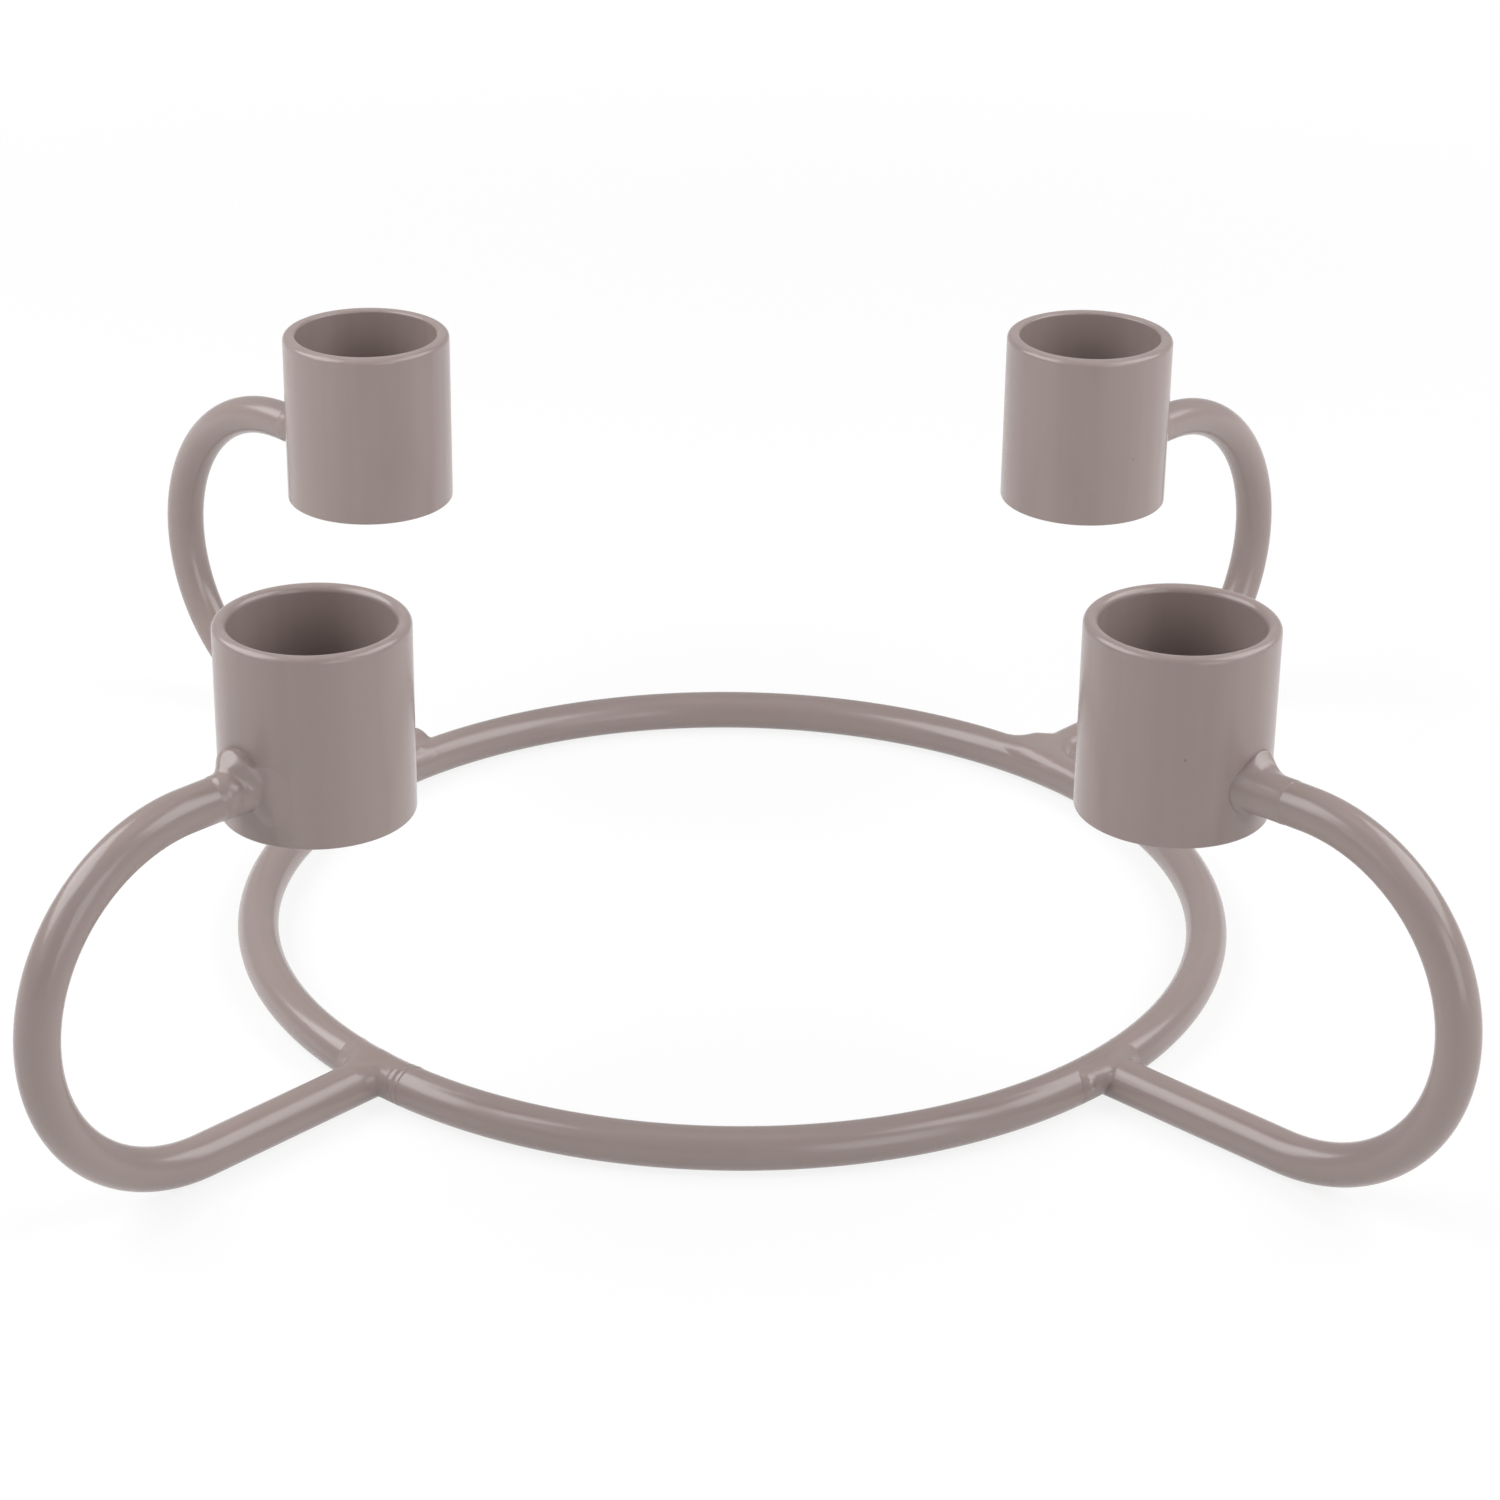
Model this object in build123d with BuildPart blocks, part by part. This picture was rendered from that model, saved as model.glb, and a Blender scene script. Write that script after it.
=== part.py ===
"""Advent candle holder: a ring of round steel rod, with four bent arms that each carry a candle cup."""

import os
from math import degrees

from build123d import *

# Rod that the ring and the arms are bent from. Every length is in millimetres, every turn in degrees
ROD_DIAMETER = 6.0

# Base ring, closed by a butt weld that is dressed flush
RING_OUTER_DIAMETER = 148.0
SEAM_WELD_WIDTH = 2.0
SEAM_WELD_TURN = 195.0

# Arms: a leg along the table, half a turn up round a former, and a short top leg back to the cup
ARM_SIDES = ("right", "back", "left", "front")
LEG_LENGTH = 31.0
LEG_NOTCH_DEPTH = 1.0
BEND_FORMER_DIAMETER = 45.0
TOP_LEG_LENGTH = 9.0

# Candle cups: a length of tube with a rounded rim, and a disc pressed into a seat in its foot
CUP_BORE_DIAMETER = 22.0
CUP_WALL = 2.0
CUP_HEIGHT = 27.0
CUP_DROP = 7.0
CUP_RIM_ROUND = 0.9
CUP_FOOT_ROUND = 0.3
FLOOR_THICKNESS = 1.2
FLOOR_SEAT_WIDTH = 0.7

# Weld where an arm meets the ring: a dome that fills the corners, proud of the rods and clear of the table
RING_WELD_SPREAD = 1.5
RING_WELD_INSET = 0.9
RING_WELD_CAP = 0.3
RING_WELD_LIFT = 2.5

# Weld where an arm meets its cup: a hollow flare, laid from above so that it climbs the cup's wall
CUP_WELD_RISE = 1.2
CUP_WELD_FLARE = 1.0
CUP_WELD_REACH = 6.0
CUP_WELD_HOLLOW = 0.6
CUP_WELD_TOE_DEPTH = 0.3

# Sizes that follow from the ones above. An edge's round leaves some of its wall flat
rod_radius = ROD_DIAMETER / 2
ring_radius = RING_OUTER_DIAMETER / 2 - rod_radius
seam_weld_sweep = degrees(SEAM_WELD_WIDTH / ring_radius)
leg_start = ring_radius + rod_radius - LEG_NOTCH_DEPTH
bend_start = ring_radius + LEG_LENGTH
bend_radius = BEND_FORMER_DIAMETER / 2 + rod_radius
top_leg_height = rod_radius + 2 * bend_radius
bore_radius = CUP_BORE_DIAMETER / 2
cup_radius = bore_radius + CUP_WALL
cup_face = bend_start - TOP_LEG_LENGTH
cup_reach = cup_face - cup_radius
cup_foot = top_leg_height - CUP_DROP
floor_radius = bore_radius + FLOOR_SEAT_WIDTH
rim_round = min(CUP_RIM_ROUND, 0.48 * CUP_WALL)
foot_round = min(CUP_FOOT_ROUND, 0.48 * (CUP_WALL - FLOOR_SEAT_WIDTH))
ring_weld_top = ROD_DIAMETER + RING_WELD_CAP
ring_weld_crown = ring_weld_top - rod_radius
ring_weld_girth = rod_radius + RING_WELD_SPREAD
ring_weld_radius = (ring_weld_girth**2 + ring_weld_crown**2) / (2 * ring_weld_crown)
ring_weld_reach = ring_radius - rod_radius + RING_WELD_INSET + ring_weld_radius
cup_weld_height = top_leg_height + CUP_WELD_RISE
cup_weld_radius = rod_radius + CUP_WELD_FLARE
cup_weld_toe_radius = rod_radius - CUP_WELD_RISE - CUP_WELD_TOE_DEPTH

os.makedirs("parts", exist_ok=True)


def radial_plane(turn):
    """Upright plane through the ring's centre: its x points outwards at this turn, its y points up."""
    return Plane.XZ.rotated((0, 0, turn))


def save(part, label):
    """Name a finished piece and write it as a file of its own."""
    part.label = label
    export_step(part, f"parts/{label}.step")


# Base ring: rod rolled into a circle, open only where the seam weld closes it
with BuildPart() as base_ring:
    with BuildSketch(radial_plane(SEAM_WELD_TURN + seam_weld_sweep / 2)):
        with Locations((ring_radius, rod_radius)):
            Circle(rod_radius)
    revolve(axis=Axis.Z, revolution_arc=360 - seam_weld_sweep)
save(base_ring.part, "base_ring")

with BuildPart() as ring_seam_weld:
    with BuildSketch(radial_plane(SEAM_WELD_TURN - seam_weld_sweep / 2)):
        with Locations((ring_radius, rod_radius)):
            Circle(rod_radius)
    revolve(axis=Axis.Z, revolution_arc=seam_weld_sweep)
save(ring_seam_weld.part, "ring_seam_weld")

for index, side in enumerate(ARM_SIDES):
    arm_plane = radial_plane(360 * index / len(ARM_SIDES))
    cup_plane = Plane(arm_plane.from_local_coords((cup_reach, cup_foot)))

    # Candle cup: tube, with a step in its foot for the floor and its edges rounded by dressing and paint
    with BuildPart() as cup:
        with BuildSketch(cup_plane):
            Circle(cup_radius)
            Circle(bore_radius, mode=Mode.SUBTRACT)
        extrude(amount=CUP_HEIGHT)
        with BuildSketch(cup_plane):
            Circle(floor_radius)
        extrude(amount=FLOOR_THICKNESS, mode=Mode.SUBTRACT)
        rim = cup.faces().sort_by(Axis.Z)[-1]
        fillet(rim.edges(), radius=rim_round)
        foot = cup.faces().sort_by(Axis.Z)[0]
        fillet(foot.outer_wire().edges(), radius=foot_round)
    save(cup.part, f"{side}_cup")

    # Cup floor: the disc that the candle stands on
    with BuildPart() as cup_floor:
        with BuildSketch(cup_plane):
            Circle(floor_radius)
        extrude(amount=FLOOR_THICKNESS)
    save(cup_floor.part, f"{side}_cup_floor")

    # Arm: one bent rod, notched over the ring at its foot and cut to the cup's wall at its top
    with BuildPart() as arm:
        with BuildLine(arm_plane) as centreline:
            leg = Line((leg_start, rod_radius), (bend_start, rod_radius))
            CenterArc((bend_start, rod_radius + bend_radius), bend_radius, start_angle=-90, arc_size=180)
            Line((bend_start, top_leg_height), (cup_reach, top_leg_height))
        with BuildSketch(Plane(origin=leg @ 0, z_dir=leg % 0)):
            Circle(rod_radius)
        sweep(path=centreline.line)
        add([base_ring.part, ring_seam_weld.part], mode=Mode.SUBTRACT)
        with BuildSketch(cup_plane):
            Circle(cup_radius)
        extrude(amount=CUP_HEIGHT, mode=Mode.SUBTRACT)
    save(arm.part, f"{side}_arm")

    # Weld to the ring: a ball cut flat underneath, less the two rods that it joins
    with BuildPart() as ring_weld:
        with Locations(arm_plane.from_local_coords((ring_weld_reach, ring_weld_top - ring_weld_radius))):
            Sphere(ring_weld_radius)
        split(bisect_by=Plane.XY.offset(RING_WELD_LIFT), keep=Keep.TOP)
        add([base_ring.part, ring_seam_weld.part, arm.part], mode=Mode.SUBTRACT)
    save(ring_weld.part, f"{side}_ring_weld")

    # Weld to the cup: a flare round a level axis, from inside the wall out to a toe inside the rod
    with BuildPart() as cup_weld:
        with BuildSketch(arm_plane):
            with BuildLine():
                Polyline(
                    (cup_face + CUP_WELD_REACH, cup_weld_height + cup_weld_toe_radius),
                    (cup_face + CUP_WELD_REACH, cup_weld_height),
                    (cup_reach, cup_weld_height),
                    (cup_reach, cup_weld_height + cup_weld_radius),
                    (cup_face, cup_weld_height + cup_weld_radius),
                )
                SagittaArc(
                    (cup_face, cup_weld_height + cup_weld_radius),
                    (cup_face + CUP_WELD_REACH, cup_weld_height + cup_weld_toe_radius),
                    -CUP_WELD_HOLLOW,
                )
            make_face()
        revolve(axis=Axis(arm_plane.from_local_coords((cup_reach, cup_weld_height)), arm_plane.x_dir))
        with BuildSketch(cup_plane):
            Circle(cup_radius)
        extrude(amount=CUP_HEIGHT, mode=Mode.SUBTRACT)
        add(arm.part, mode=Mode.SUBTRACT)
    save(cup_weld.part, f"{side}_cup_weld")
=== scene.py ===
# %% [markdown]
# # Advent candle holder
# The holder is a ring of round steel rod with four bent arms. Each arm carries a candle cup cut from tube.
# Everything is welded, and then one coat of taupe enamel goes over the lot.
# The CAD model gives every size and place. This script makes a finer piece for each CAD solid and lights it.

# %% Load the frame
from math import cos, degrees, pi, radians, sin, tan

import bmesh
import bpy
from mathutils import Matrix, Vector


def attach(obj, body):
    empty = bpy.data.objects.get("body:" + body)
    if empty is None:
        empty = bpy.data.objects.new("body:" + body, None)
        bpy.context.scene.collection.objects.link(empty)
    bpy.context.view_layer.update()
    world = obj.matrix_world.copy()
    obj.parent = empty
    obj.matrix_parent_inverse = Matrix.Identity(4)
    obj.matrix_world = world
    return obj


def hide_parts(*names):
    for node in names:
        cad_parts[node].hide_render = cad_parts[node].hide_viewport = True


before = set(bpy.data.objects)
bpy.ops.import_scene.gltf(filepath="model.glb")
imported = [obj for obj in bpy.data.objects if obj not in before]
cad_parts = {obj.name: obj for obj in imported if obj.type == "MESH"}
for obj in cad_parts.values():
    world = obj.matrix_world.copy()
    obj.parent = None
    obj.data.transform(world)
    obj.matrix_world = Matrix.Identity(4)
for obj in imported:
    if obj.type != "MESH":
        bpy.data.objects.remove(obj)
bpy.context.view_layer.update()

# %% [markdown]
# ## Sizes
# The CAD model's own sizes are repeated here in millimetres, so that each piece lands where its solid is.
# The trees below work in millimetres too, and their last step scales the mesh to metres.

# %% Sizes in millimetres
MM = 0.001
ROD_RADIUS = 3.0
RING_RADIUS = 71.0
SEAM_TURN = radians(195.0)
SEAM_WIDTH = 2.0
SEAM_SWEEP = SEAM_WIDTH / RING_RADIUS
BEND_START = 102.0
BEND_RADIUS = 25.5
TOP_LEG_HEIGHT = ROD_RADIUS + 2 * BEND_RADIUS
CUP_RADIUS = 13.0
BORE_RADIUS = 11.0
CUP_REACH = 80.0
CUP_FOOT = 47.0
CUP_TOP = 74.0
FLOOR_RADIUS = 11.7
FLOOR_TOP = 48.2
SIDES = {"right": 0.0, "back": radians(90), "left": radians(180), "front": radians(270)}
print("Arms at", {side: round(degrees(turn)) for side, turn in SIDES.items()}, "degrees")

# %% [markdown]
# ## Nodes
# Shaders and Geometry Nodes are both trees of nodes. One small function adds any node to any tree: it sets
# the node up and feeds its sockets, in order or by name, with plain values or with other nodes.

# %% One function for every node
def add(tree, kind, wires=(), **settings):
    """Add a node, set it up, and feed its sockets with values, nodes or outputs of nodes."""
    node = tree.nodes.new(kind)
    for name, value in settings.items():
        setattr(node, name, value)
    sockets = [socket for socket in node.inputs if socket.enabled]
    feeds = wires if isinstance(wires, dict) else dict(enumerate(wires))
    for key, value in feeds.items():
        socket = sockets[key] if isinstance(key, int) else next(s for s in sockets if s.name == key)
        if isinstance(value, bpy.types.Node):
            value = next(output for output in value.outputs if output.enabled)
        if isinstance(value, bpy.types.NodeSocket):
            tree.links.new(value, socket)
        elif value is not None:
            socket.default_value = value
    return node


MATH = "ShaderNodeMath"
VECTOR = "ShaderNodeVectorMath"
print("One function adds every node")

# %% [markdown]
# ## The coat
# The whole holder is dipped or sprayed in one semi-gloss enamel and baked. A baked coat flows before it sets,
# so it is smooth, but not quite flat: it keeps a faint orange peel, and over welds it bridges small pits.
# A picture could be painted for each piece. Noise that is measured in millimetres needs no unwrapping, and
# it keeps its size from piece to piece, so one function makes the finish for all of them.

# %% Colours as a shader takes them
WHITE = "#FFFFFF"


def linear(code):
    """Turn an sRGB hex colour into the linear colour that a shader takes."""
    parts = [int(code[start:start + 2], 16) / 255 for start in (1, 3, 5)]
    levels = [part / 12.92 if part <= 0.04045 else ((part + 0.055) / 1.055) ** 2.4 for part in parts]
    return (*levels, 1.0)


print("White is", linear(WHITE))

# %% Stoved enamel
COAT_THICK = "#998A86"
COAT_THIN = "#8C7D79"
# Colour of a pinhole, darker than the coat: painted shade inside the pit
PIT_SHADE = "#7A6C67"
ENAMEL_IOR = 1.52
ROUGHNESS = (0.2, 0.25)
# Widths of the patterns in millimetres, and the values that most of a noise lies between
PEEL_WIDTH = 2.4
WAVE_WIDTH = 9.0
PIT_SPACING = 4.5
NOISE_SPAN = (0.3, 0.7)
# A pinhole is full out to the first share of that spacing, and gone at the second
PIT_EDGE = (0.02, 0.055)


def stoved_enamel(name, patch, peel, wave, pits):
    """Semi-gloss enamel: size of its tone patches, heights of its peel and waves, and share of pinholes."""
    material = bpy.data.materials.new(name)
    material.use_nodes = True
    tree = material.node_tree
    tree.nodes.clear()
    place = add(tree, "ShaderNodeTexCoord").outputs["Object"]
    # Drift in tone, where the coat is a little thicker or thinner
    spread = add(tree, VECTOR, (place, Vector(patch) * MM), operation="DIVIDE")
    drift = add(tree, "ShaderNodeTexNoise", {"Vector": spread, "Scale": 1.0, "Detail": 3.0})
    tone = add(tree, "ShaderNodeMix", (drift, linear(COAT_THIN), linear(COAT_THICK)), data_type="RGBA")
    # Pinholes: small round spots at scattered cells. The surface is not dented there, so their darker colour
    # paints the shade inside each tiny pit
    cells = add(tree, "ShaderNodeTexVoronoi", {"Vector": place, "Scale": 1 / (PIT_SPACING * MM)})
    spot = add(tree, "ShaderNodeMapRange", (cells.outputs["Distance"], *PIT_EDGE, 1.0, 0.0))
    chosen = add(tree, MATH, (cells.outputs["Color"], 1.0 - pits), operation="GREATER_THAN")
    pinhole = add(tree, MATH, (spot, chosen), operation="MULTIPLY")
    colour = add(tree, "ShaderNodeMix", (pinhole, tone, linear(PIT_SHADE)), data_type="RGBA")
    # Orange peel over the slow waves of hand-dressed metal
    ripple = add(tree, "ShaderNodeTexNoise", {"Vector": place, "Scale": 1 / (PEEL_WIDTH * MM), "Detail": 1.0})
    swell = add(tree, "ShaderNodeTexNoise", {"Vector": place, "Scale": 1 / (WAVE_WIDTH * MM), "Detail": 1.0})
    waved = add(tree, "ShaderNodeBump", {"Strength": 1.0, "Distance": wave * MM, "Height": swell})
    surface = add(tree, "ShaderNodeBump", {"Strength": 1.0, "Distance": peel * MM, "Height": ripple,
                                           "Normal": waved})
    gloss = add(tree, "ShaderNodeMapRange", (drift, *NOISE_SPAN, *ROUGHNESS))
    shader = add(tree, "ShaderNodeBsdfPrincipled", {"Base Color": colour, "Roughness": gloss,
                                                    "IOR": ENAMEL_IOR, "Normal": surface})
    add(tree, "ShaderNodeOutputMaterial", {"Surface": shader})
    return material


print("Orange peel is", PEEL_WIDTH, "mm wide, and a pinhole has a cell of", PIT_SPACING, "mm")

# %% The coat on rod, tube and welds
# Sizes of the drifts in tone, in millimetres. The lines that a mill leaves on tube are finer than these
# streaks, and are drawn this wide so that they show
TONE_PATCH = (30.0, 30.0, 30.0)
TONE_STREAK = (4.0, 4.0, 120.0)
# On drawn rod the coat lies smooth, and shows long, even highlights
ROD_COAT = stoved_enamel("stoved_enamel_on_rod", TONE_PATCH, peel=0.008, wave=0.02, pits=0.12)
# On tube it covers the lines that the mill left, so its tone runs in faint upright streaks
CUP_COAT = stoved_enamel("stoved_enamel_on_tube", TONE_STREAK, peel=0.006, wave=0.02, pits=0.3)
# On a weld it follows the ripples of the bead, so the highlights break up, with pinholes between
WELD_COAT = stoved_enamel("stoved_enamel_on_weld", TONE_PATCH, peel=0.02, wave=0.05, pits=0.4)
print("Finishes:", ROD_COAT.name, CUP_COAT.name, WELD_COAT.name)

# %% [markdown]
# ## From a tree to a piece
# A Geometry Nodes tree is a recipe with named inputs. Two helpers open and close a tree, and a third one runs
# it on an empty object, keeps the resulting plain mesh and takes the modifier away. A fourth one hangs the
# piece under the frame's root and hides the CAD solids that it stands for.

# %% Open, close and run a tree
def open_tree(name, sizes):
    """Start a tree with a named input for each size, and for its turn, seed and finish."""
    tree = bpy.data.node_groups.new(name, "GeometryNodeTree")
    for label, value in sizes.items():
        kind = "NodeSocketVector" if isinstance(value, tuple) else "NodeSocketFloat"
        tree.interface.new_socket(label, in_out="INPUT", socket_type=kind).default_value = value
    for label in ("Turn", "Seed"):
        tree.interface.new_socket(label, in_out="INPUT", socket_type="NodeSocketFloat")
    tree.interface.new_socket("Finish", in_out="INPUT", socket_type="NodeSocketMaterial")
    tree.interface.new_socket("Geometry", in_out="OUTPUT", socket_type="NodeSocketGeometry")
    return tree, tree.nodes.new("NodeGroupInput").outputs


def close_tree(tree, given, mesh):
    """Turn the mesh to its arm, scale it to metres, and give it its finish."""
    turn = add(tree, "ShaderNodeCombineXYZ", {"Z": given["Turn"]})
    placed = add(tree, "GeometryNodeTransform", {"Geometry": mesh, "Rotation": turn, "Scale": (MM, MM, MM)})
    smooth = add(tree, "GeometryNodeSetShadeSmooth", {"Geometry": placed})
    real = add(tree, "GeometryNodeRealizeInstances", {"Geometry": smooth})
    coated = add(tree, "GeometryNodeSetMaterial", {"Geometry": real, "Material": given["Finish"]})
    add(tree, "NodeGroupOutput", (coated,))


def run_tree(tree, name, values):
    """Run a tree with these input values, and return the result as an object with a plain mesh."""
    piece = bpy.data.objects.new(name, bpy.data.meshes.new(name))
    bpy.context.collection.objects.link(piece)
    recipe = piece.modifiers.new("Recipe", "NODES")
    recipe.node_group = tree
    for item in tree.interface.items_tree:
        if item.in_out == "INPUT" and item.name in values:
            recipe[item.identifier] = values[item.name]
    evaluated = piece.evaluated_get(bpy.context.evaluated_depsgraph_get())
    piece.data = bpy.data.meshes.new_from_object(evaluated)
    piece.modifiers.remove(recipe)
    piece.data.name = name
    return piece


def join_frame(piece, *nodes):
    """Hang a piece under the frame's root, and hide the CAD solids that it stands for."""
    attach(piece, "root")
    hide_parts(*nodes)
    print(piece.name, "stands for", nodes, "with", len(piece.data.polygons), "faces")


print("A tree becomes a piece by open_tree, close_tree and run_tree, and joins the frame by join_frame")

# %% [markdown]
# ## Base ring
# The ring is a length of round rod, rolled into a circle, butt-welded, and dressed flush at the seam.
# A torus would do for a plain ring. A circle swept along an arc gives the seam as well: a long arc is the
# ring, and a short, slightly swollen one is the seam.

# %% Rolled rod
ROD_FACETS = 64
rolled_rod, given = open_tree("Rolled rod", {"Ring radius": RING_RADIUS, "Rod radius": ROD_RADIUS,
                                             "Start": 0.0, "Sweep": 1.0, "Steps": 8.0, "Swell": 0.0,
                                             "Centre height": ROD_RADIUS})
arc = add(rolled_rod, "GeometryNodeCurveArc",
          {"Resolution": given["Steps"], "Radius": given["Ring radius"], "Start Angle": given["Start"],
           "Sweep Angle": given["Sweep"]})
along = add(rolled_rod, "GeometryNodeSplineParameter").outputs["Factor"]
half_turn = add(rolled_rod, MATH, (along, pi), operation="MULTIPLY")
hump = add(rolled_rod, MATH, (half_turn,), operation="SINE")
swollen = add(rolled_rod, MATH, (hump, given["Swell"], 1.0), operation="MULTIPLY_ADD")
section = add(rolled_rod, "GeometryNodeCurvePrimitiveCircle",
              {"Resolution": ROD_FACETS, "Radius": given["Rod radius"]})
tube = add(rolled_rod, "GeometryNodeCurveToMesh",
           {"Curve": arc, "Profile Curve": section, "Scale": swollen, "Fill Caps": True})
lifted = add(rolled_rod, "ShaderNodeCombineXYZ", {"Z": given["Centre height"]})
raised = add(rolled_rod, "GeometryNodeTransform", {"Geometry": tube, "Translation": lifted})
close_tree(rolled_rod, given, raised)
print("A rolled rod uses", len(rolled_rod.nodes), "nodes")

# %% Ring and seam
RING_STEPS = 360.0
SEAM_STEPS = 16.0
# The bead laps over the rod's ends a little. It starts just inside the rod, and swells by a share of its size
SEAM_LAP = 0.3 / RING_RADIUS
SEAM_SINK = 0.02
SEAM_SWELL = 0.006
ring = run_tree(rolled_rod, "ring_rod", {"Start": SEAM_TURN + SEAM_SWEEP / 2, "Sweep": 2 * pi - SEAM_SWEEP,
                                         "Steps": RING_STEPS, "Finish": ROD_COAT})
join_frame(ring, "base_ring")
seam = run_tree(rolled_rod, "ring_seam_bead",
                {"Start": SEAM_TURN - SEAM_SWEEP / 2 - SEAM_LAP, "Sweep": SEAM_SWEEP + 2 * SEAM_LAP,
                 "Steps": SEAM_STEPS, "Rod radius": ROD_RADIUS - SEAM_SINK, "Swell": SEAM_SWELL,
                 "Finish": WELD_COAT})
join_frame(seam, "ring_seam_weld")

# %% [markdown]
# ## Arms
# Each arm is one rod: a leg on the table, half a turn round a former, and a short leg back to the cup.
# A curve drawn by hand would be only nearly round, so one rule gives the whole centreline. Along the rod, the
# turn grows from 0 to half a turn while it passes the former, and the straight legs are what is left over
# before and after.

# %% Length of a bent rod
ARM_STEPS = 160
# How far the top leg runs into the cup's wall, so that no gap shows
ARM_SINK = 0.7
bent_rod, given = open_tree("Bent rod", {"Leg start": RING_RADIUS, "Bend start": BEND_START,
                                         "Bend radius": BEND_RADIUS, "Rod radius": ROD_RADIUS,
                                         "Leg end": CUP_REACH + CUP_RADIUS - ARM_SINK})
leg = add(bent_rod, MATH, (given["Bend start"], given["Leg start"]), operation="SUBTRACT")
top_leg = add(bent_rod, MATH, (given["Bend start"], given["Leg end"]), operation="SUBTRACT")
bend = add(bent_rod, MATH, (given["Bend radius"], pi), operation="MULTIPLY")
legs = add(bent_rod, MATH, (leg, top_leg), operation="ADD")
length = add(bent_rod, MATH, (legs, bend), operation="ADD")
far_end = add(bent_rod, "ShaderNodeCombineXYZ", {"X": length})
line = add(bent_rod, "GeometryNodeCurvePrimitiveLine", {"End": far_end})
points = add(bent_rod, "GeometryNodeResampleCurve", {"Curve": line, "Count": ARM_STEPS})
print("A straight rod of the right length uses", len(bent_rod.nodes), "nodes")

# %% Bend the rod
walked = add(bent_rod, "GeometryNodeSplineParameter").outputs["Length"]
past_leg = add(bent_rod, MATH, (walked, leg), operation="SUBTRACT")
free_turn = add(bent_rod, MATH, (past_leg, given["Bend radius"]), operation="DIVIDE")
turned = add(bent_rod, "ShaderNodeClamp", (free_turn, 0.0, pi))
on_leg = add(bent_rod, MATH, (walked, leg), operation="MINIMUM")
past_bend = add(bent_rod, MATH, (past_leg, bend), operation="SUBTRACT")
on_top_leg = add(bent_rod, MATH, (past_bend, 0.0), operation="MAXIMUM")
sine = add(bent_rod, MATH, (turned,), operation="SINE")
cosine = add(bent_rod, MATH, (turned,), operation="COSINE")
out = add(bent_rod, MATH, (sine, given["Bend radius"], on_leg), operation="MULTIPLY_ADD")
back = add(bent_rod, MATH, (out, on_top_leg), operation="SUBTRACT")
reach = add(bent_rod, MATH, (back, given["Leg start"]), operation="ADD")
climb = add(bent_rod, MATH, (1.0, cosine), operation="SUBTRACT")
height = add(bent_rod, MATH, (climb, given["Bend radius"], given["Rod radius"]), operation="MULTIPLY_ADD")
centre = add(bent_rod, "ShaderNodeCombineXYZ", {"X": reach, "Z": height})
centreline = add(bent_rod, "GeometryNodeSetPosition", {"Geometry": points, "Position": centre})
section = add(bent_rod, "GeometryNodeCurvePrimitiveCircle",
              {"Resolution": ROD_FACETS, "Radius": given["Rod radius"]})
rod = add(bent_rod, "GeometryNodeCurveToMesh",
          {"Curve": centreline, "Profile Curve": section, "Fill Caps": True})
close_tree(bent_rod, given, rod)
print("With the bend:", len(bent_rod.nodes), "nodes")

# %% Four arms
for side, turn in SIDES.items():
    arm = run_tree(bent_rod, f"{side}_arm_rod", {"Turn": turn, "Finish": ROD_COAT})
    join_frame(arm, f"{side}_arm")

# %% [markdown]
# ## Candle cups
# A cup is a short length of tube with a disc let into its foot as a floor. Its rim is dressed round by hand,
# on some cups more than on others.
# Both are shapes that a lathe would make, so an outline is drawn once and carried round the cup's axis.
# Bevels on a cylinder come close, but an outline gives each edge a round of its own.

# %% Outline with rounded corners
ROUND_STEPS = 8


def outline(corners):
    """Points of a closed outline from its corners: radius, height and how far each corner is rounded."""
    points = []
    for index, (radius, height, rounding) in enumerate(corners):
        corner = Vector((radius, height))
        before = (Vector(corners[index - 1][:2]) - corner).normalized()
        after = (Vector(corners[(index + 1) % len(corners)][:2]) - corner).normalized()
        if rounding == 0.0:
            points.append(corner)
            continue
        half = before.angle(after) / 2
        middle = corner + (before + after).normalized() * rounding / sin(half)
        first = corner + before * rounding / tan(half) - middle
        last = corner + after * rounding / tan(half) - middle
        sweep = first.angle_signed(last)
        for step in range(ROUND_STEPS + 1):
            spoke = Matrix.Rotation(-sweep * step / ROUND_STEPS, 2) @ first
            points.append(middle + spoke)
    return points


print("A rounded corner takes", ROUND_STEPS + 1, "points")

# %% Carry an outline round
LATHE_STEPS = 160
MERGE_WITHIN = 0.001
SHARP_FROM = radians(35)


def turned_piece(name, corners, turn, finish):
    """Carry an outline round the upright axis of the cup at this turn."""
    axis = Vector((cos(turn), sin(turn), 0.0)) * CUP_REACH
    shape = bmesh.new()
    rows = []
    profile = outline(corners)
    for step in range(LATHE_STEPS):
        angle = 2 * pi * step / LATHE_STEPS
        spoke = Vector((cos(angle), sin(angle), 0.0))
        rows.append([shape.verts.new((axis + spoke * p.x + Vector((0, 0, p.y))) * MM) for p in profile])
    for step, row in enumerate(rows):
        beside = rows[(step + 1) % LATHE_STEPS]
        for index in range(len(profile)):
            following = (index + 1) % len(profile)
            shape.faces.new((row[index], beside[index], beside[following], row[following]))
    bmesh.ops.remove_doubles(shape, verts=shape.verts, dist=MERGE_WITHIN * MM)
    bmesh.ops.recalc_face_normals(shape, faces=shape.faces)
    mesh = bpy.data.meshes.new(name)
    shape.to_mesh(mesh)
    shape.free()
    mesh.shade_smooth()
    mesh.set_sharp_from_angle(angle=SHARP_FROM)
    mesh.materials.append(finish)
    piece = bpy.data.objects.new(name, mesh)
    bpy.context.collection.objects.link(piece)
    return piece


print("A turned piece has", LATHE_STEPS, "steps round its axis")

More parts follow.
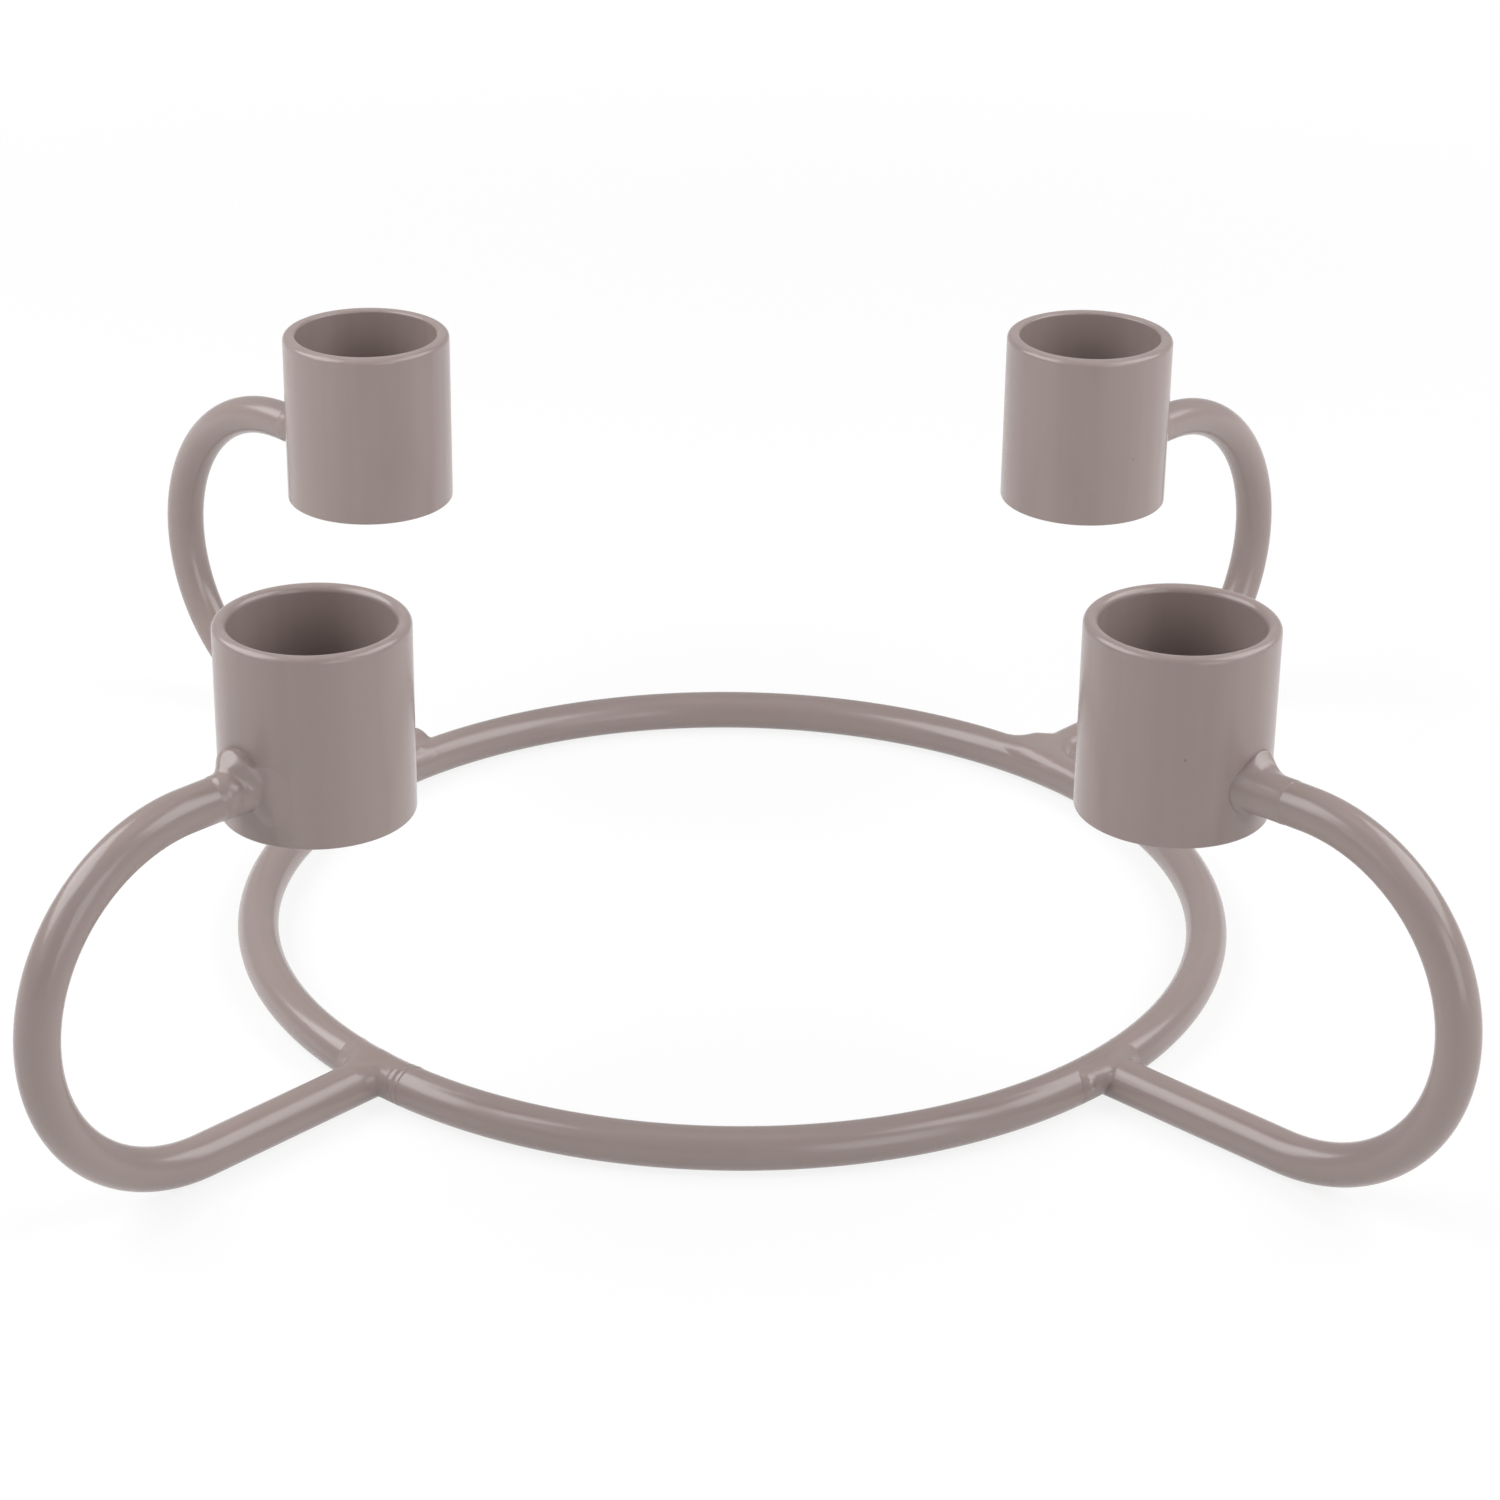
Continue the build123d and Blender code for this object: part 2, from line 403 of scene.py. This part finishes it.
# %% Four cups and their floors
# Rounds of each rim, outside and inside
RIM_ROUNDS = {"right": (0.95, 0.95), "back": (0.85, 0.4), "left": (0.85, 0.4), "front": (0.95, 0.95)}
FOOT_ROUND = 0.35
SEAT_ROUND = 0.12
SEAT_GAP = 0.04
DISC_ROUND_BELOW = 0.2
DISC_ROUND_ABOVE = 0.05
floor_corners = (
    (0.0, CUP_FOOT, 0.0), (FLOOR_RADIUS, CUP_FOOT, DISC_ROUND_BELOW),
    (FLOOR_RADIUS, FLOOR_TOP, DISC_ROUND_ABOVE), (0.0, FLOOR_TOP, 0.0),
)
for side, turn in SIDES.items():
    outer_round, inner_round = RIM_ROUNDS[side]
    cup_corners = (
        (FLOOR_RADIUS + SEAT_GAP, CUP_FOOT, SEAT_ROUND), (CUP_RADIUS, CUP_FOOT, FOOT_ROUND),
        (CUP_RADIUS, CUP_TOP, outer_round), (BORE_RADIUS, CUP_TOP, inner_round),
        (BORE_RADIUS, FLOOR_TOP, 0.0), (FLOOR_RADIUS + SEAT_GAP, FLOOR_TOP, 0.0),
    )
    join_frame(turned_piece(f"{side}_cup_tube", cup_corners, turn, CUP_COAT), f"{side}_cup")
    join_frame(turned_piece(f"{side}_cup_disc", floor_corners, turn, CUP_COAT), f"{side}_cup_floor")

# %% [markdown]
# ## Fields for the welds
# A weld is metal that was liquid: it fills the corner between two pieces and flows out over both.
# It could be sculpted, but a distance field says in numbers how it flows. At each point the field holds how
# far the nearest piece is, and a smooth minimum of two such distances fills the corner between them. A volume
# is filled with the field, and the surface where the field is nought becomes the mesh. Each weld has a seed
# of its own, so no two have the same ripples.

# %% Helpers for fields
SKIN = 0.12
VOXEL = 0.14
RIPPLE_WIDTH = 2.5
NOISE_MIDDLE = 0.5
# A volume is dense inside, so the density at the surface is set to 1, and falls with the distance outwards
SURFACE = 1.0
EMPTY = -5.0


def with_drop(tree, field, place, centre, size, blend):
    """Let a round drop of metal run together with a field."""
    far = add(tree, VECTOR, (place, centre), operation="DISTANCE")
    to_drop = add(tree, MATH, (far, size), operation="SUBTRACT")
    return add(tree, MATH, (field, to_drop, blend), operation="SMOOTH_MIN")


def with_ripple(tree, field, place, seed, height):
    """Raise and lower the surface of a field in waves that are a few millimetres wide."""
    noise = add(tree, "ShaderNodeTexNoise",
                {"Vector": place, "W": seed, "Scale": 1 / RIPPLE_WIDTH, "Detail": 3.0}, noise_dimensions="4D")
    wave = add(tree, MATH, (noise, NOISE_MIDDLE), operation="SUBTRACT")
    return add(tree, MATH, (wave, height, field), operation="MULTIPLY_ADD")


def skin_of_field(tree, distance, low, high):
    """Mesh the surface where a distance field is nought, inside the box from low to high."""
    density = add(tree, MATH, (SURFACE, distance), operation="SUBTRACT")
    counts = [int((top - bottom) / VOXEL) for bottom, top in zip(low, high)]
    volume = add(tree, "GeometryNodeVolumeCube",
                 {"Density": density, "Background": EMPTY, "Min": low, "Max": high,
                  "Resolution X": counts[0], "Resolution Y": counts[1], "Resolution Z": counts[2]})
    return add(tree, "GeometryNodeVolumeToMesh", {"Volume": volume, "Threshold": SURFACE})


print("Fields are meshed in steps of", VOXEL, "mm, and lie", SKIN, "mm inside the rods where no weld shows")

# %% [markdown]
# ## Welds at the ring
# Here the two pieces are the ring and the leg of an arm. Two distances come first: one to each rod.

# %% Distances to the ring and to the leg
ring_weld, given = open_tree("Weld at the ring", {
    "Ring radius": RING_RADIUS, "Rod radius": ROD_RADIUS - SKIN, "Centre height": ROD_RADIUS,
    "Arm start": RING_RADIUS + ROD_RADIUS, "Blend": 5.0,
    "Bead": (74.0, 0.0, 3.4), "Bead radius": 2.8, "Bead blend": 1.4,
    "Sleeve from": -5.0, "Sleeve to": 5.0, "Sleeve lean": (0.21, 0.07, 0.0), "Ridge": 0.0,
    "Drop": (73.0, 0.0, 3.0), "Drop size": 0.5, "Drop blend": 1.0,
    "Dressed top": 6.25, "Dressed edge": 0.5, "Underside": 1.2, "Ripple": 0.12, "Reach": 9.5,
})
place = add(ring_weld, "GeometryNodeInputPosition")
split = add(ring_weld, "ShaderNodeSeparateXYZ", (place,)).outputs
above = add(ring_weld, MATH, (split["Z"], given["Centre height"]), operation="SUBTRACT")
flat = add(ring_weld, VECTOR, (place, (1.0, 1.0, 0.0)), operation="MULTIPLY")
from_axis = add(ring_weld, VECTOR, (flat,), operation="LENGTH")
from_ring = add(ring_weld, MATH, (from_axis, given["Ring radius"]), operation="SUBTRACT")
ring_spoke = add(ring_weld, "ShaderNodeCombineXYZ", (from_ring, above))
ring_far = add(ring_weld, VECTOR, (ring_spoke,), operation="LENGTH")
to_ring = add(ring_weld, MATH, (ring_far, given["Rod radius"]), operation="SUBTRACT")
before_arm = add(ring_weld, MATH, (split["X"], given["Arm start"]), operation="SUBTRACT")
short_of_arm = add(ring_weld, MATH, (before_arm, 0.0), operation="MINIMUM")
arm_spoke = add(ring_weld, "ShaderNodeCombineXYZ", (short_of_arm, split["Y"], above))
arm_far = add(ring_weld, VECTOR, (arm_spoke,), operation="LENGTH")
to_arm = add(ring_weld, MATH, (arm_far, given["Rod radius"]), operation="SUBTRACT")
print("Distances to two rods use", len(ring_weld.nodes), "nodes")

# %% [markdown]
# The weld also lies on the ring as a sleeve. It starts crisply at each end and leans outwards from there,
# into the corner with the arm. The torch works from above, so the sleeve leans most near the top of the rods.
# On one side it may have the small even ridges that a weld gets as the pool moves on.

# %% Sleeve on the ring
# How far a sleeve stands proud of its rod, and how wide the smooth step at its end is
PROUD = 0.02
CRISP = 0.1
# Heights between which the fill grows from its least share to the whole
FILL_FROM = 1.5
FILL_TO = 5.5
FILL_LEAST = 0.1
# Width of a ridge, and how far aside of the arm the ridges set in and are at their full height
RIDGE_PITCH = 1.0
RIDGE_FROM = 4.2
RIDGE_TO = 5.0
to_one = add(ring_weld, MATH, (given["Sleeve to"], split["Y"]), operation="SUBTRACT")
to_other = add(ring_weld, MATH, (split["Y"], given["Sleeve from"]), operation="SUBTRACT")
inside = add(ring_weld, MATH, (to_one, to_other), operation="MINIMUM")
fill = add(ring_weld, "ShaderNodeMapRange", (split["Z"], FILL_FROM, FILL_TO, FILL_LEAST, 1.0),
           interpolation_type="SMOOTHSTEP")
leaned = add(ring_weld, MATH, (inside, fill), operation="MULTIPLY")
shifted = add(ring_weld, VECTOR, {"Vector": given["Sleeve lean"], "Scale": leaned}, operation="SCALE")
sleeve_spoke = add(ring_weld, VECTOR, (ring_spoke, shifted), operation="SUBTRACT")
sleeve_far = add(ring_weld, VECTOR, (sleeve_spoke,), operation="LENGTH")
phase = add(ring_weld, MATH, (split["Y"], 2 * pi / RIDGE_PITCH), operation="MULTIPLY")
wave = add(ring_weld, MATH, (phase,), operation="SINE")
ridge = add(ring_weld, "ShaderNodeMapRange", (split["Y"], RIDGE_FROM, RIDGE_TO, 0.0, given["Ridge"]))
sleeve_radius = add(ring_weld, MATH, (wave, ridge, ROD_RADIUS + PROUD), operation="MULTIPLY_ADD")
off_sleeve = add(ring_weld, MATH, (sleeve_far, sleeve_radius), operation="SUBTRACT")
past_ends = add(ring_weld, MATH, (0.0, inside), operation="SUBTRACT")
to_sleeve = add(ring_weld, MATH, (off_sleeve, past_ends, CRISP), operation="SMOOTH_MAX")
print("With the sleeve:", len(ring_weld.nodes), "nodes")

# %% [markdown]
# The corner between the rods fills near their top too, and stays open near the table.
# A bead in the corner and a drop are added, and then the weld is dressed level with the rods.

# %% Fill the corner and dress it
# Width over which a sleeve or a collar runs into the filled corner
RUN_IN = 0.6
width = add(ring_weld, MATH, (fill, given["Blend"]), operation="MULTIPLY")
corner = add(ring_weld, MATH, (to_ring, to_arm, width), operation="SMOOTH_MIN")
on_ring = add(ring_weld, MATH, (corner, to_sleeve, RUN_IN), operation="SMOOTH_MIN")
filled = with_drop(ring_weld, on_ring, place, given["Bead"], given["Bead radius"], given["Bead blend"])
dripped = with_drop(ring_weld, filled, place, given["Drop"], given["Drop size"], given["Drop blend"])
rough = with_ripple(ring_weld, dripped, place, given["Seed"], given["Ripple"])
over_top = add(ring_weld, MATH, (split["Z"], given["Dressed top"]), operation="SUBTRACT")
dressed = add(ring_weld, MATH, (rough, over_top, given["Dressed edge"]), operation="SMOOTH_MAX")
under = add(ring_weld, MATH, (given["Underside"], split["Z"]), operation="SUBTRACT")
above_table = add(ring_weld, MATH, (dressed, under), operation="MAXIMUM")
from_bead = add(ring_weld, VECTOR, (place, given["Bead"]), operation="DISTANCE")
out_of_ball = add(ring_weld, MATH, (from_bead, given["Reach"]), operation="SUBTRACT")
kept = add(ring_weld, MATH, (above_table, out_of_ball), operation="MAXIMUM")
# Box round the weld of the right arm. The tree turns the weld to its own arm afterwards
RING_WELD_LOW = (64.0, -10.0, -0.5)
RING_WELD_HIGH = (83.0, 10.0, 8.5)
close_tree(ring_weld, given, skin_of_field(ring_weld, kept, RING_WELD_LOW, RING_WELD_HIGH))
print("A weld at the ring uses", len(ring_weld.nodes), "nodes")

# %% Four welds at the ring
# Each place is outwards along the arm, aside and up, in millimetres
RING_WELDS = {
    "front": {"Seed": 1.0, "Blend": 5.5, "Sleeve from": -5.5, "Sleeve to": 6.3, "Ridge": 0.06},
    "right": {"Seed": 2.0, "Blend": 4.0, "Bead radius": 2.0, "Dressed top": 6.15, "Dressed edge": 1.6,
              "Sleeve from": -6.8, "Sleeve lean": (0.28, 0.1, 0.0), "Drop": (73.5, -6.0, 4.2),
              "Drop size": 0.8},
    "back": {"Seed": 3.0, "Blend": 8.0, "Dressed top": 6.35, "Sleeve from": 2.0, "Sleeve to": -2.0,
             "Drop": (74.8, 2.8, 3.3), "Drop size": 2.4, "Drop blend": 2.5},
    "left": {"Seed": 4.0, "Blend": 4.0, "Bead": (74.2, -2.0, 4.3), "Bead radius": 3.1, "Dressed top": 7.1,
             "Sleeve from": -2.5, "Sleeve to": 3.5, "Drop": (70.6, -0.2, 5.4), "Drop size": 0.8},
}
for side, sizes in RING_WELDS.items():
    bead = run_tree(ring_weld, f"{side}_ring_bead", {"Turn": SIDES[side], "Finish": WELD_COAT, **sizes})
    join_frame(bead, f"{side}_ring_weld")

# %% [markdown]
# ## Welds at the cups
# Where an arm meets its cup, the weld is a trumpet: a thin flange on the wall, drawn out along the rod.
# The distances to the rod and to the cup's wall come first.

# %% Distances to the rod and to the wall
cup_weld, given = open_tree("Weld at a cup", {
    "Cup reach": CUP_REACH, "Cup radius": CUP_RADIUS, "Rod radius": ROD_RADIUS - SKIN,
    "Rod height": TOP_LEG_HEIGHT, "Rise": 0.9, "Flare": 3.8, "Lean": 0.0, "Toe": 0.3, "Crest": 0.7,
    "Chamfer": 1.2, "Blend": 2.0, "Collar": 6.2, "Collar lean": (0.0, 0.0, 0.2),
    "Drop": (93.0, 0.0, 54.0), "Drop size": 0.5, "Drop blend": 0.8,
    "Smear": (93.0, 0.0, 54.0), "Smear size": 0.5, "Ripple": 0.15, "Reach": 8.0,
    "Facet": (0.7, 0.0, 0.714), "Facet at": (96.0, 0.0, 60.0),
})
place = add(cup_weld, "GeometryNodeInputPosition")
split = add(cup_weld, "ShaderNodeSeparateXYZ", (place,)).outputs
above = add(cup_weld, MATH, (split["Z"], given["Rod height"]), operation="SUBTRACT")
rod_spoke = add(cup_weld, "ShaderNodeCombineXYZ", {"Y": split["Y"], "Z": above})
rod_far = add(cup_weld, VECTOR, (rod_spoke,), operation="LENGTH")
to_rod = add(cup_weld, MATH, (rod_far, given["Rod radius"]), operation="SUBTRACT")
from_cup = add(cup_weld, MATH, (split["X"], given["Cup reach"]), operation="SUBTRACT")
cup_spoke = add(cup_weld, "ShaderNodeCombineXYZ", {"X": from_cup, "Y": split["Y"]})
cup_far = add(cup_weld, VECTOR, (cup_spoke,), operation="LENGTH")
off_wall = add(cup_weld, MATH, (cup_far, given["Cup radius"]), operation="SUBTRACT")
print("Distances to the rod and the wall use", len(cup_weld.nodes), "nodes")

# %% [markdown]
# On the wall lies a round foot, a little above the rod's middle. It is thin at its lower edge and thick at
# its crest, because the metal was laid from above, and a cone leads from it down to the rod. It may lean to
# one side, and a file may have left a flat facet on it.

# %% Foot on the wall
# Heights above the rod's middle between which the foot thickens from its toe to its crest
CREST_FROM = 1.5
CREST_TO = 4.5
# Width of the smooth start of the cone, and a share that brings its field near to a true distance
CONE_START = 0.5
CONE_SLOPE = 0.7
above_rise = add(cup_weld, MATH, (above, given["Rise"]), operation="SUBTRACT")
leaned = add(cup_weld, MATH, (above, given["Lean"]), operation="MULTIPLY")
aside = add(cup_weld, MATH, (split["Y"], leaned), operation="SUBTRACT")
foot_spoke = add(cup_weld, "ShaderNodeCombineXYZ", {"Y": aside, "Z": above_rise})
foot_far = add(cup_weld, VECTOR, (foot_spoke,), operation="LENGTH")
thick = add(cup_weld, "ShaderNodeMapRange", (above, CREST_FROM, CREST_TO, given["Toe"], given["Crest"]))
past_foot = add(cup_weld, MATH, (off_wall, thick), operation="SUBTRACT")
along_cone = add(cup_weld, MATH, (past_foot, 0.0, CONE_START), operation="SMOOTH_MAX")
narrowed = add(cup_weld, MATH, (along_cone, given["Chamfer"], foot_far), operation="MULTIPLY_ADD")
past_cone = add(cup_weld, MATH, (narrowed, given["Flare"]), operation="SUBTRACT")
to_cone = add(cup_weld, MATH, (past_cone, CONE_SLOPE), operation="MULTIPLY")
from_facet = add(cup_weld, VECTOR, (place, given["Facet at"]), operation="SUBTRACT")
over_facet = add(cup_weld, VECTOR, (from_facet, given["Facet"]), operation="DOT_PRODUCT")
filed = add(cup_weld, MATH, (to_cone, over_facet, CRISP), operation="SMOOTH_MAX")
on_wall = add(cup_weld, MATH, (to_rod, filed, given["Blend"]), operation="SMOOTH_MIN")
print("With the foot:", len(cup_weld.nodes), "nodes")

# %% [markdown]
# A collar follows the rod. It starts crisply at its far end and leans to the side that the torch came from.
# A drop shows where the welder stopped and started again, and a smear is metal that ran aside over the wall.

# %% Collar, drop and smear
# A smear is taller than it is wide, so heights count for less than widths
SMEAR_SHAPE = (1.0, 1.0, 0.55)
SMEAR_BLEND = 0.3
past_collar = add(cup_weld, MATH, (off_wall, given["Collar"]), operation="SUBTRACT")
inside = add(cup_weld, MATH, (0.0, past_collar), operation="SUBTRACT")
shifted = add(cup_weld, VECTOR, {"Vector": given["Collar lean"], "Scale": inside}, operation="SCALE")
collar_spoke = add(cup_weld, VECTOR, (rod_spoke, shifted), operation="SUBTRACT")
collar_far = add(cup_weld, VECTOR, (collar_spoke,), operation="LENGTH")
off_collar = add(cup_weld, MATH, (collar_far, ROD_RADIUS + PROUD), operation="SUBTRACT")
to_collar = add(cup_weld, MATH, (off_collar, past_collar, CRISP), operation="SMOOTH_MAX")
on_rod = add(cup_weld, MATH, (on_wall, to_collar, RUN_IN), operation="SMOOTH_MIN")
dripped = with_drop(cup_weld, on_rod, place, given["Drop"], given["Drop size"], given["Drop blend"])
from_smear = add(cup_weld, VECTOR, (place, given["Smear"]), operation="SUBTRACT")
lowered = add(cup_weld, VECTOR, (from_smear, SMEAR_SHAPE), operation="MULTIPLY")
smear_far = add(cup_weld, VECTOR, (lowered,), operation="LENGTH")
to_smear = add(cup_weld, MATH, (smear_far, given["Smear size"]), operation="SUBTRACT")
smeared = add(cup_weld, MATH, (dripped, to_smear, SMEAR_BLEND), operation="SMOOTH_MIN")
rough = with_ripple(cup_weld, smeared, place, given["Seed"], given["Ripple"])
print("With the collar:", len(cup_weld.nodes), "nodes")

# %% [markdown]
# Nothing may show inside the bore or run far along the rod, so the field is cut there, and then meshed.

# %% Mesh a cup weld
# How deep the weld may reach into the cup's wall
WALL_DEPTH = 0.8
into_wall = add(cup_weld, MATH, (-WALL_DEPTH, off_wall), operation="SUBTRACT")
past_reach = add(cup_weld, MATH, (off_wall, given["Reach"]), operation="SUBTRACT")
out_of_zone = add(cup_weld, MATH, (into_wall, past_reach), operation="MAXIMUM")
kept = add(cup_weld, MATH, (rough, out_of_zone), operation="MAXIMUM")
CUP_WELD_LOW = (88.0, -9.0, 47.5)
CUP_WELD_HIGH = (102.0, 9.0, 63.5)
close_tree(cup_weld, given, skin_of_field(cup_weld, kept, CUP_WELD_LOW, CUP_WELD_HIGH))
print("A weld at a cup uses", len(cup_weld.nodes), "nodes")

# %% Four welds at the cups
CUP_WELDS = {
    "front": {"Seed": 5.0, "Ripple": 0.3, "Rise": 1.4, "Flare": 4.3, "Lean": -0.06, "Toe": 0.15, "Crest": 1.2,
              "Chamfer": 1.0, "Blend": 1.2, "Facet": (0.72, 0.06, 0.69), "Facet at": (94.12, -0.3, 59.62),
              "Collar": 4.3, "Collar lean": (0.0, 0.2, 0.08), "Drop": (96.2, 0.85, 54.85), "Drop size": 2.6,
              "Smear": (86.83, 2.58, 54.0), "Smear size": 6.15},
    "right": {"Seed": 6.0, "Rise": 1.0, "Flare": 4.0, "Lean": 0.22, "Crest": 0.5, "Chamfer": 1.0,
              "Blend": 3.0, "Facet": (0.78, 0.0, 0.63), "Facet at": (94.0, 1.0, 57.95),
              "Collar lean": (0.0, -0.2, 0.1)},
    "back": {"Seed": 7.0, "Ripple": 0.25, "Lean": 0.1},
    "left": {"Seed": 8.0, "Ripple": 0.3, "Rise": 1.2, "Crest": 1.0},
}
for side, sizes in CUP_WELDS.items():
    bead = run_tree(cup_weld, f"{side}_cup_bead", {"Turn": SIDES[side], "Finish": WELD_COAT, **sizes})
    join_frame(bead, f"{side}_cup_weld")

# %% [markdown]
# ## Camera
# The view is that of a camera a little above the table, between two of the arms. Its place and its three
# angles were worked out from the ellipses of the ring and the rims.

# %% Camera at the photograph's angle
CAMERA_BACK = 520.928
CAMERA_HEIGHT = 272.482
CAMERA_YAW = radians(0.250)
CAMERA_PITCH = radians(25.068)
CAMERA_ROLL = radians(-0.785)
VIEW_TURN = radians(43.339)
FOCAL_LENGTH = 93.3475
SENSOR_WIDTH = 36.0
CLIP_FROM = 0.01
forward = Vector((sin(CAMERA_YAW) * cos(CAMERA_PITCH), cos(CAMERA_YAW) * cos(CAMERA_PITCH),
                  -sin(CAMERA_PITCH)))
level = Vector((cos(CAMERA_YAW), -sin(CAMERA_YAW), 0.0))
down = forward.cross(level)
across = level * cos(CAMERA_ROLL) + down * sin(CAMERA_ROLL)
upright = level * sin(CAMERA_ROLL) - down * cos(CAMERA_ROLL)
axes = Matrix((across, upright, -forward)).transposed()
stand = Matrix.Rotation(VIEW_TURN, 4, "Z")
spot = Vector((0.0, -CAMERA_BACK, CAMERA_HEIGHT)) * MM
camera_data = bpy.data.cameras.new("photo_camera")
camera_data.lens = FOCAL_LENGTH
camera_data.sensor_width = SENSOR_WIDTH
camera_data.clip_start = CLIP_FROM
camera = bpy.data.objects.new("photo_camera", camera_data)
bpy.context.collection.objects.link(camera)
camera.matrix_world = stand @ Matrix.Translation(spot) @ axes.to_4x4()
bpy.context.scene.camera = camera
print("Camera at", [round(value, 4) for value in camera.matrix_world.translation])

# %% [markdown]
# ## Light
# The photograph was taken in a light tent: a white surround, with brighter soft panels at both sides.
# The panels are area lamps. Each is placed by two angles seen from the holder, because that is how its
# highlight is found on the rods.

# %% Soft panels
AIM = Vector((0.0, 0.0, 0.035))


def soft_panel(name, aside, raised, far, wide, high, power):
    """A panel at an angle aside from the camera, raised above the table, facing the holder."""
    angle = VIEW_TURN - pi / 2 + radians(aside)
    ray = Vector((cos(angle) * cos(radians(raised)), sin(angle) * cos(radians(raised)), sin(radians(raised))))
    lamp = bpy.data.lights.new(name, "AREA")
    lamp.shape = "RECTANGLE"
    lamp.size = wide
    lamp.size_y = high
    lamp.energy = power
    panel = bpy.data.objects.new(name, lamp)
    panel.location = AIM + ray * far
    panel.rotation_euler = (-ray).to_track_quat("-Z", "Y").to_euler()
    panel.visible_camera = False
    bpy.context.collection.objects.link(panel)
    print(name, "at", [round(value, 2) for value in panel.location])


# Degrees aside and raised, then metres away, wide and high, and watts
PANELS = {
    "panel_right": (88, 44, 0.6, 0.6, 0.42, 2.75),
    "panel_left": (-89, 43, 0.6, 0.6, 0.43, 3.35),
    "panel_above": (0, 88, 1.0, 0.45, 0.45, 0.3),
    "panel_front_right": (33, 14, 3.0, 1.5, 2.0, 21.0),
    "panel_front_left": (-48, 28, 3.0, 1.2, 1.2, 3.5),
}
for name, numbers in PANELS.items():
    soft_panel(name, *numbers)

# %% [markdown]
# ## Surround and floor
# The surround is the world, and the floor is a sheet of matt white paper. Brighter lamps could make them
# white, but would bleach the coat too. So both simply show white to the camera and pale in reflections, at a
# plain level of light. Close to the holder the paper keeps some of its own shading, and a soft shadow.

# %% White surround
SURROUND_LIGHT = 0.2
# A tent has dim corners, so reflections see it only this far on the way from its own light to white
MIRRORED_SHARE = 0.5
world = bpy.data.worlds.new("light_tent")
bpy.context.scene.world = world
world.use_nodes = True
tree = world.node_tree
tree.nodes.clear()
seen = add(tree, "ShaderNodeLightPath").outputs
mirrored = add(tree, MATH, (seen["Is Glossy Ray"], MIRRORED_SHARE), operation="MULTIPLY")
direct = add(tree, MATH, (seen["Is Camera Ray"], mirrored), operation="MAXIMUM")
shown = add(tree, MATH, (direct, seen["Is Transmission Ray"]), operation="MAXIMUM")
strength = add(tree, "ShaderNodeMapRange", (shown, 0.0, 1.0, SURROUND_LIGHT, 1.0))
tent = add(tree, "ShaderNodeBackground", {"Color": linear(WHITE), "Strength": strength})
add(tree, "ShaderNodeOutputWorld", {"Surface": tent})
print("Surround:", world.name)

# %% Paper floor
FLOOR_WIDTH = 6.0
PAPER_COLOUR = "#F3F3F3"
# Share of plain white near the holder, and the metres from its middle over which the rest fades out
WHITE_NEAR = 0.85
FADE_FROM = 0.2
FADE_TO = 0.5
matt_white = bpy.data.materials.new("matt_white_paper")
matt_white.use_nodes = True
tree = matt_white.node_tree
tree.nodes.clear()
seen = add(tree, "ShaderNodeLightPath").outputs
direct = add(tree, MATH, (seen["Is Camera Ray"], seen["Is Glossy Ray"]), operation="MAXIMUM")
shown = add(tree, MATH, (direct, seen["Is Transmission Ray"]), operation="MAXIMUM")
place = add(tree, "ShaderNodeTexCoord").outputs["Object"]
far_out = add(tree, VECTOR, (place,), operation="LENGTH")
whiter = add(tree, "ShaderNodeMapRange", (far_out, FADE_FROM, FADE_TO, WHITE_NEAR, 1.0))
share = add(tree, MATH, (shown, whiter), operation="MULTIPLY")
paper = add(tree, "ShaderNodeBsdfDiffuse", {"Color": linear(PAPER_COLOUR)})
white = add(tree, "ShaderNodeEmission", {"Color": linear(WHITE), "Strength": 1.0})
surface = add(tree, "ShaderNodeMixShader", (share, paper, white))
add(tree, "ShaderNodeOutputMaterial", {"Surface": surface})

bpy.ops.mesh.primitive_plane_add(size=FLOOR_WIDTH, location=(0.0, 0.0, 0.0))
floor = bpy.context.object
floor.name = "table_sheet"
floor.data.materials.append(matt_white)
bpy.context.scene.view_settings.view_transform = "Standard"
print("Floor:", matt_white.name)
